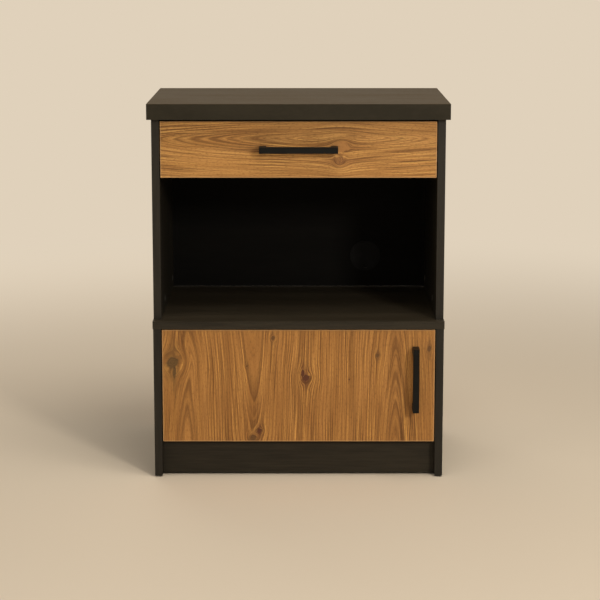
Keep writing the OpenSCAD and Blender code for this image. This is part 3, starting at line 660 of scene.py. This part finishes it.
# %% Drawer front figure
ovals_height, ovals_middle, ovals_slope = 0.7085, 0.065, 0.1
upper_squeeze, lower_squeeze = 1.5, -1.0
knot_along, knot_across = 0.084, 0.6640
patch_values = {"Knot along": 0.088, "Knot across": 0.691, "Radius": 0.0115, "Stretch": 1.45, "Reach": 1.0}
drawer_wood, tree, drawer_shader, place = new_finish("drawer_wood")
drawer_split = add(tree, "SeparateXYZ", {"Vector": place}).outputs
along, across = drawer_split["X"], drawer_split["Z"]
drawer_knots = [(knot_along, knot_across, 0.0090, 1.05, 1.4, tone(158, 108, 58))]
read, knots = knots_in(tree, along, across, drawer_knots)
patch = use_group(tree, knot_group, {"Along": along, "Across": across, **patch_values})
read = minus(tree, read, patch["Shift"])
swayed = wavy(tree, stretched(tree, place, 0.25, 1.0, 1.0), across, [(0.012, 9), (0.002, 34)])
bent = plus(tree, read, minus(tree, swayed, across))
# Both slopes rise away from the middle line, and the steeper one lies above it.
off = minus(tree, bent, ovals_height)
off = larger(tree, times(tree, off, upper_squeeze), times(tree, off, lower_squeeze))
sideways = times(tree, minus(tree, along, ovals_middle), ovals_slope)
ring = rounded(tree, off, sideways, pointed)
print("drawer front", len(drawer_knots), "knot, ovals at", ovals_height, "m")

# %% [markdown]
# ## The drawer front's colour
# The nested tips of the ovals are the boldest marks, and only on the left half. The knot is open at the
# top, with rings of its own that hang below it like a U, and the patch above it is plain.

# %% Drawer front colour
tip_lines = [(0.0094, 0.0022, 0.5), (0.0136, 0.0022, 0.5), (0.0176, 0.003, 0.5), (0.0245, 0.003, 0.65),
             (0.0281, 0.0024, 0.6), (0.0316, 0.0022, 0.6)]
u_line = [(0.0112, 0.0022, 0.75)]
outer_u_lines = [(0.0148, 0.0015, 0.4), (0.0178, 0.0015, 0.35)]
tip_tone, u_tone, patch_tone = tone(92, 55, 20), tone(88, 52, 20), tone(164, 112, 61)
calmer = larger(tree, times(tree, patch["Mask"], 0.8), fade(tree, along, -0.02, 0.1, end=0.18))
wood = use_group(tree, wood_group, {
    **knots, "Ring": ring, "Coarse count": 180.0, "Close count": 350.0, "Along": along, "Across": bent,
    "Calm": calmer, "Pale": tone(198, 145, 80), "Middle": tone(179, 126, 64), "Dark": tone(94, 56, 20)})
tips = mark_rings(tree, wood["Color"], ring, tip_tone, tip_lines)
colour = blend(tree, fade(tree, along, 0.02, -0.08), wood["Color"], tips)
u_ring = rounded(tree, minus(tree, along, knot_along), minus(tree, across, knot_across + 0.001), 1.8)
below = fade(tree, across, knot_across + 0.005, knot_across - 0.003)
colour = blend(tree, below, colour, mark_rings(tree, colour, u_ring, u_tone, u_line))
below_left = times(tree, below, fade(tree, along, knot_along + 0.004, knot_along - 0.008))
colour = blend(tree, below_left, colour, mark_rings(tree, colour, u_ring, u_tone, outer_u_lines))
colour = blend(tree, times(tree, patch["Mask"], 0.55), colour, patch_tone)
lacquer_with_edge_highlight(tree, drawer_shader, "drawer_front", drawer_split, colour, wood)
print("drawer wood", len(tree.nodes), "nodes")

# %% [markdown]
# ## Dark board
# The carcass is chipboard faced with a dark, warm grey melamine foil. The foil is matt, printed with faint
# grain, and pressed with tiny pores. One group makes it from three sizes of the same noise, and each kind
# of board gives its own two tones and its own direction of the grain.

# %% Dark board group
board_group, take, give = new_group(
    "dark_board", sockets("Vector", "Grained") + sockets("Color", "Deep", "Light"),
    sockets("Color", "Color") + sockets("Float", "Roughness", "Height"))
tree = board_group
cloud = noise(tree, take["Grained"], 14, detail=3, roughness=0.6)
streaks = noise(tree, take["Grained"], 240, detail=3, roughness=0.65)
pits = noise(tree, take["Grained"], 1100, detail=1)
print_strength = plus(tree, times(tree, cloud, 0.55), times(tree, streaks, 0.45))
height = plus(tree, fade(tree, pits, 0.3, 0.42), times(tree, streaks, 0.4))
plug(tree, give, {"Color": blend(tree, fade(tree, print_strength, 0.35, 0.65), take["Deep"], take["Light"]),
                  "Roughness": fade(tree, print_strength, 0.3, 0.7, start=0.42, end=0.54), "Height": height})
print("board group", len(tree.nodes), "nodes")

# %% [markdown]
# ## Dark boards
# The top board and the deck get other tones on their upper faces than on the plain dark band round their
# edges: browner on the top board, and lighter on the deck, as painted light on a face that the niche shades.
# A second material on those faces would need the mesh changed, so one material looks at the height instead:
# what lies within half a millimetre of the top gets the upper tones.

# %% Dark board finishes
laminate_depth = 0.0005
along_x, along_y, along_z = (0.05, 1, 1), (1, 0.05, 1), (1, 1, 0.05)
band_deep, band_light = tone(29, 25, 17), tone(47, 41, 30)


def dark_board(name, grain, deep, light, gloss=0.2, upper=None, shift=(0, 0, 0)):
    """The foil on one kind of board. "upper" is a board's name and the two tones of its upper face."""
    made, tree, shader, place = new_finish(name)
    grained_place = stretched(tree, place, *grain, shift)
    out = use_group(tree, board_group, {"Grained": grained_place, "Deep": deep, "Light": light})
    colour = out["Color"]
    if upper:
        board, upper_deep, upper_light = upper
        height = add(tree, "SeparateXYZ", {"Vector": place}).outputs["Z"]
        on_top = calc(tree, "GREATER_THAN", height, extent(board, "Z")[1] - laminate_depth)
        face = use_group(tree, board_group, {
            "Grained": grained_place, "Deep": upper_deep, "Light": upper_light})
        colour = blend(tree, on_top, colour, face["Color"])
    plug(tree, shader, {"Base Color": colour, "Roughness": out["Roughness"], "Specular IOR Level": gloss})
    raise_surface(tree, shader, out["Height"], 0.2, 0.0002)
    return made


# The sides get darker tones than the level boards of the same foil, as painted shade, and their print is
# shifted sideways so the left sides come out darker than the right ones, also painted shade.
upright_board_painted_shade = dark_board("board_upright_painted_shade", along_z, tone(20, 16, 9), tone(35, 30, 20), 0.3,
                           shift=(0.71, 0, 0))
level_board = dark_board("board_level", along_x, band_deep, band_light)
# The deck's upper face gets lighter tones than its band: painted light on a face that the niche shades.
deck_painted_light_finish = dark_board("deck_painted_light", along_x, band_deep, band_light,
                         upper=("deck_board", tone(38, 32, 22), tone(54, 47, 35)))
top_finish = dark_board("top_laminate", (0.3, 1, 1), tone(45, 41, 32), tone(51, 46, 36), 0.06,
                        upper=("top_board", tone(49, 38, 20), tone(60, 48, 29)))
drawer_board = dark_board("drawer_board", along_y, tone(42, 38, 30), tone(60, 55, 45))
print("laminate from", round(extent("top_board", "Z")[1] - laminate_depth, 4), "m upwards on the top board")

# %% [markdown]
# ## Hardboard
# The backs and the drawer's bottom are thin hardboard: pressed brown fibres. The side that shows inside the
# cabinet is faced with a dark foil made like the boards' foil, and only the outside is bare. On the backs
# that foil is near black, as painted shade inside the cabinet. Half the thickness is a safe place to change
# from one to the other, so the finish asks how far back, or how far down, a point lies.


# %% Hardboard finish
def faced_hardboard(name, sheet, axis, bare_way, deep, light):
    """Dark on one side of a sheet's middle, and bare brown on the side that bare_way points to, 1 or -1."""
    made, tree, shader, place = new_finish(name)
    foil = use_group(tree, board_group, {
        "Grained": stretched(tree, place, 0.06, 1, 1), "Deep": deep, "Light": light})
    cloud = noise(tree, place, 9)
    fibres = noise(tree, place, 900, detail=3, roughness=0.7, distortion=1.5)
    bare = blend(tree, fade(tree, cloud, 0.3, 0.7), tone(155, 120, 82), tone(162, 127, 88))
    bare = blend(tree, fade(tree, fibres, 0.5, 0.35, end=0.35), bare, tone(112, 82, 52))
    depth = minus(tree, add(tree, "SeparateXYZ", {"Vector": place}).outputs[axis], halfway(sheet, axis))
    is_bare = calc(tree, "GREATER_THAN", times(tree, depth, bare_way), 0.0)
    plug(tree, shader, {"Base Color": blend(tree, is_bare, foil["Color"], bare),
                        "Roughness": fade(tree, fibres, 0.3, 0.7, start=0.5, end=0.7),
                        "Specular IOR Level": 0.06})
    raise_surface(tree, shader, fibres, 0.15, 0.0003)
    return made


# On the backs the facing is near black: painted shade inside the cabinet.
back_hardboard_painted_shade = faced_hardboard("back_hardboard_painted_shade", "upper_back_panel", "Y", 1, tone(8, 7, 5), tone(14, 12, 9))
bottom_hardboard = faced_hardboard("bottom_hardboard", "drawer_bottom", "Z", -1, tone(36, 32, 25),
                                   tone(50, 45, 37))
print("backs turn bare at", round(halfway("upper_back_panel", "Y"), 4), "m")

# %% [markdown]
# ## Powder coat
# The handles are powder coated black: a plastic powder that is baked to a skin. It dries with a fine
# orange-peel texture and a low sheen. A flat black would show no shape at all, so a slow cloud lets the
# tone and the roughness vary a little.

# %% Powder coat
powder_black, tree, shader, place = new_finish("powder_black")
peel = noise(tree, place, 900)
cloud = noise(tree, place, 40)
plug(tree, shader, {"Base Color": blend(tree, fade(tree, cloud, 0.3, 0.7), tone(10, 9, 6), tone(15, 14, 10)),
                    "Roughness": fade(tree, cloud, 0.3, 0.7, start=0.4, end=0.5),
                    "Specular IOR Level": 0.15})
raise_surface(tree, shader, peel, 0.15, 0.0002)
print("powder coat", len(tree.nodes), "nodes")

# %% [markdown]
# ## Plated steel
# The hinges are plated with nickel, and the screws and cams with zinc. Plated steel is bare metal with tiny
# scratches, so its metallic value is plainly 1, and only the roughness and the colour vary a little.


# %% Plated steel
def plated(name, dull, bright, rough, scratches):
    """Bare metal between two tones. The scratches are drawn out along the axis with the small number."""
    made, tree, shader, place = new_finish(name)
    brushed = noise(tree, stretched(tree, place, *scratches), 600, roughness=0.6)
    cloud = noise(tree, place, 60)
    plug(tree, shader, {"Metallic": 1.0, "Base Color": blend(tree, fade(tree, cloud, 0.3, 0.7), dull, bright),
                        "Roughness": fade(tree, brushed, 0.3, 0.7, start=rough - 0.08, end=rough + 0.08)})
    raise_surface(tree, shader, brushed, 0.08, 0.0002)
    return made


nickel = plated("nickel_plate", tone(196, 192, 184), tone(214, 211, 204), 0.26, (1, 1, 0.2))
zinc = plated("zinc_plate", tone(176, 178, 176), tone(202, 203, 200), 0.38, (1, 1, 1))
print("plated steels", nickel.name, zinc.name)

# %% [markdown]
# ## Enamelled steel
# The drawer's rails are pressed steel with a cream coat. It flows out better than the handles' coat, so its
# peel is broader and fainter.

# %% Enamelled steel
enamel, tree, shader, place = new_finish("enamel_cream")
cloud = noise(tree, place, 50)
peel = noise(tree, place, 700)
cream = blend(tree, fade(tree, cloud, 0.3, 0.7), tone(226, 220, 204), tone(236, 232, 219))
plug(tree, shader, {"Base Color": cream, "Roughness": fade(tree, cloud, 0.3, 0.7, start=0.34, end=0.44)})
raise_surface(tree, shader, peel, 0.1, 0.0002)
print("enamel", len(tree.nodes), "nodes")

# %% [markdown]
# ## Plastics
# The rollers are white nylon, and the glides, the cable outlet and the door stops are black. Moulded
# plastic is nearly even, with the faint texture of the mould and a soft sheen, so one function makes both.


# %% Plastics
def moulded(name, dark, light, rough, gloss):
    made, tree, shader, place = new_finish(name)
    grain = noise(tree, place, 1400, roughness=0.6)
    cloud = noise(tree, place, 45)
    plug(tree, shader, {"Base Color": blend(tree, fade(tree, cloud, 0.3, 0.7), dark, light),
                        "Roughness": fade(tree, grain, 0.3, 0.7, start=rough - 0.06, end=rough + 0.06),
                        "Specular IOR Level": gloss})
    raise_surface(tree, shader, grain, 0.12, 0.0001)
    return made


nylon = moulded("nylon_white", tone(232, 229, 220), tone(242, 240, 233), 0.42, 0.5)
black_plastic = moulded("plastic_black", tone(14, 13, 12), tone(20, 19, 18), 0.6, 0.12)
print("plastics", nylon.name, black_plastic.name)

# %% [markdown]
# ## Felt
# The little buffers behind the drawer front are felt, a mat of loose fibres that scatters light at its
# edges. Real hairs would be far too fine to see at this size, so a tangled noise and some sheen stand for
# them.

# %% Felt
felt, tree, shader, place = new_finish("felt_grey")
hairs = noise(tree, place, 2200, detail=3, roughness=0.7, distortion=2.0)
colour = blend(tree, fade(tree, hairs, 0.3, 0.7), tone(84, 82, 78), tone(122, 119, 113))
plug(tree, shader, {"Base Color": colour, "Roughness": fade(tree, hairs, 0.3, 0.7, start=0.9),
                    "Sheen Weight": 0.4})
raise_surface(tree, shader, hairs, 0.4, 0.0004)
print("felt", len(tree.nodes), "nodes")

# %% [markdown]
# ## Beech
# The dowels are plain beech, a pale even wood with small dark flecks. They hardly show, so two stretched
# noises do without rings or knots.

# %% Beech
beech, tree, shader, place = new_finish("beech")
grain = noise(tree, stretched(tree, place, 0.1, 1, 1), 500, detail=3, roughness=0.6)
flecks = noise(tree, stretched(tree, place, 0.15, 1, 1), 1500, detail=1)
colour = blend(tree, fade(tree, grain, 0.35, 0.65), tone(206, 169, 122), tone(226, 194, 150))
colour = blend(tree, fade(tree, flecks, 0.38, 0.3, end=0.7), colour, tone(150, 108, 66))
plug(tree, shader, {"Base Color": colour, "Roughness": fade(tree, grain, 0.3, 0.7, start=0.5, end=0.65)})
raise_surface(tree, shader, grain, 0.2, 0.0003)
print("beech", len(tree.nodes), "nodes")

# %% [markdown]
# ## Dress the frame
# Each CAD piece belongs to one material slot in the record, and most slots have one finish. The dark board
# has three, because its printed grain runs up on the sides and across on the shelves, the sides get darker
# tones as painted shade, and the deck's upper face has painted light. So a short table names the pieces that
# differ from their slot.

# %% Give every piece its finish
finishes = {
    "carcass_board": level_board, "top_board": top_finish, "front_board_across": drawer_wood,
    "front_board_upright": door_wood, "drawer_board": drawer_board, "hardboard": back_hardboard_painted_shade,
    "beech": beech, "black_metal": powder_black, "enamelled_steel": enamel, "nickel_steel": nickel,
    "zinc_steel": zinc, "nylon": nylon, "black_plastic": black_plastic, "felt": felt}
sides = ["base_side_left", "base_side_right", "upper_side_left", "upper_side_right"]
special = {"drawer_bottom": bottom_hardboard, "deck_board": deck_painted_light_finish}
special.update(dict.fromkeys(sides, upright_board_painted_shade))
for part in frame["record"]["subparts"]:
    node = nodes[part["node"]]
    node.data.materials.clear()
    node.data.materials.append(special.get(part["node"], finishes[part["material_slot"]]))

# %% [markdown]
# ## Ease the edges
# No real board or bar has a perfectly sharp edge, and the thin line of light on a rounded edge is what
# makes it look solid. A CAD mesh is loose triangles, so three modifiers work on it in turn: Weld joins the
# triangles, Decimate clears the cuts inside flat faces, and Bevel rounds what is left of the sharp edges,
# by half a millimetre to two.


# %% Ease the edges
def ease(name, width, segments):
    """Rounds the sharp edges of one CAD piece by a width in metres, without a change to its mesh."""
    node = nodes[name]
    weld = node.modifiers.new("join", "WELD")
    weld.merge_threshold = 0.00001
    flat = node.modifiers.new("flatten", "DECIMATE")
    flat.decimate_type = "DISSOLVE"
    flat.angle_limit = math.radians(0.5)
    bevel = node.modifiers.new("ease", "BEVEL")
    bevel.width = width
    bevel.segments = segments
    bevel.limit_method = "ANGLE"
    bevel.angle_limit = math.radians(40)
    bevel.harden_normals = True


drawer_box = ["drawer_side_left", "drawer_side_right", "drawer_back"]
edge_table = [
    (0.0005, 2, ["base_bottom", "rear_rail", "drawer_divider", *drawer_box]),
    (0.001, 2, [*sides, "plinth_board"]),
    (0.0012, 2, ["top_board", "deck_board", "drawer_front", "door_panel"]),
    (0.0018, 3, ["drawer_handle", "door_handle"])]
for width, segments, names in edge_table:
    for name in names:
        ease(name, width, segments)
print("eased", sum(len(names) for _, _, names in edge_table), "pieces")

# %% [markdown]
# ## The flap behind the cable slot
# A cable outlet's lid has a slot in its rim. A thin black flap is put behind it, a dark sheet that stands for
# the shade the slot would show, so the background doesn't show through. Its edge follows the round hole. A
# cut disc would do, but it is simpler to spin a small rectangle round the hole's middle for forty degrees.

# %% Cable slot flap
flap_reach, flap_thickness = 0.0119, 0.0007
flap_from_middle = 0.02095
flap_depth = 0.21465
flap_turn, flap_start = math.radians(40), math.radians(70)
strip = bmesh.new()
bmesh.ops.create_grid(strip, x_segments=1, y_segments=1, size=0.5)
bmesh.ops.scale(strip, vec=(flap_reach, flap_thickness, 1.0), verts=strip.verts)
bmesh.ops.translate(strip, vec=(flap_from_middle, 0, 0), verts=strip.verts)
bmesh.ops.spin(strip, geom=strip.verts[:] + strip.edges[:] + strip.faces[:], cent=(0, 0, 0), axis=(0, 1, 0),
               angle=flap_turn, steps=8, use_merge=False)
bmesh.ops.rotate(strip, cent=(0, 0, 0), matrix=Matrix.Rotation(flap_start, 3, "Y"), verts=strip.verts)
hole = (halfway("cable_grommet", "X"), flap_depth, halfway("cable_grommet", "Z"))
bmesh.ops.translate(strip, vec=hole, verts=strip.verts)
bmesh.ops.recalc_face_normals(strip, faces=strip.faces)
print("open edges", sum(edge.is_boundary for edge in strip.edges))
flap_mesh = bpy.data.meshes.new("slot_shade_flap")
strip.to_mesh(flap_mesh)
strip.free()
# A dark sheet behind the slot that stands in for the shade the hole would show.
shade_flap = bpy.data.objects.new("slot_shade_flap", flap_mesh)
bpy.context.scene.collection.objects.link(shade_flap)
flap_mesh.materials.append(black_plastic)
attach(shade_flap, "carcass")
print("cable flap", len(flap_mesh.polygons), "faces")
